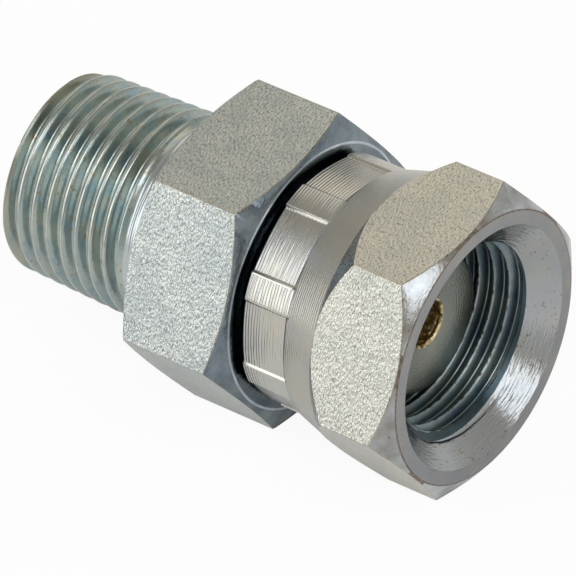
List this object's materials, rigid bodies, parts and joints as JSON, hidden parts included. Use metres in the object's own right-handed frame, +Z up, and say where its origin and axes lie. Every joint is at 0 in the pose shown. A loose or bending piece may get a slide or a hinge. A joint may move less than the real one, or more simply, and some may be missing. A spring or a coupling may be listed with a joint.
{
  "type": "swivel adapter",
  "caption": "Straight hydraulic swivel adapter: a hexagon body with a male taper pipe thread, and a captive hexagon nut with a female pipe thread that turns freely on it.",
  "frame": {"origin": "on the common axis, at the body hexagon's shoulder on the pipe thread side", "axes": "+X along the common axis from the pipe thread towards the nut's mouth, +Z up, away from the flats it lies on"},
  "size_m": [0.0518, 0.033, 0.0286],
  "materials": {
    "zinc_plated_steel": "bright zinc plating over drawn hexagon bar and turned steel"
  },
  "bodies": {
    "body": {"adapter_body": "zinc_plated_steel"},
    "nut": {"swivel_nut": "zinc_plated_steel"}
  },
  "joints": [
    {"name": "nut_spin", "type": "hinge", "parent": "body", "child": "nut", "pos_m": [0.0201, 0, 0], "axis": [1, 0, 0], "continuous": true}
  ]
}
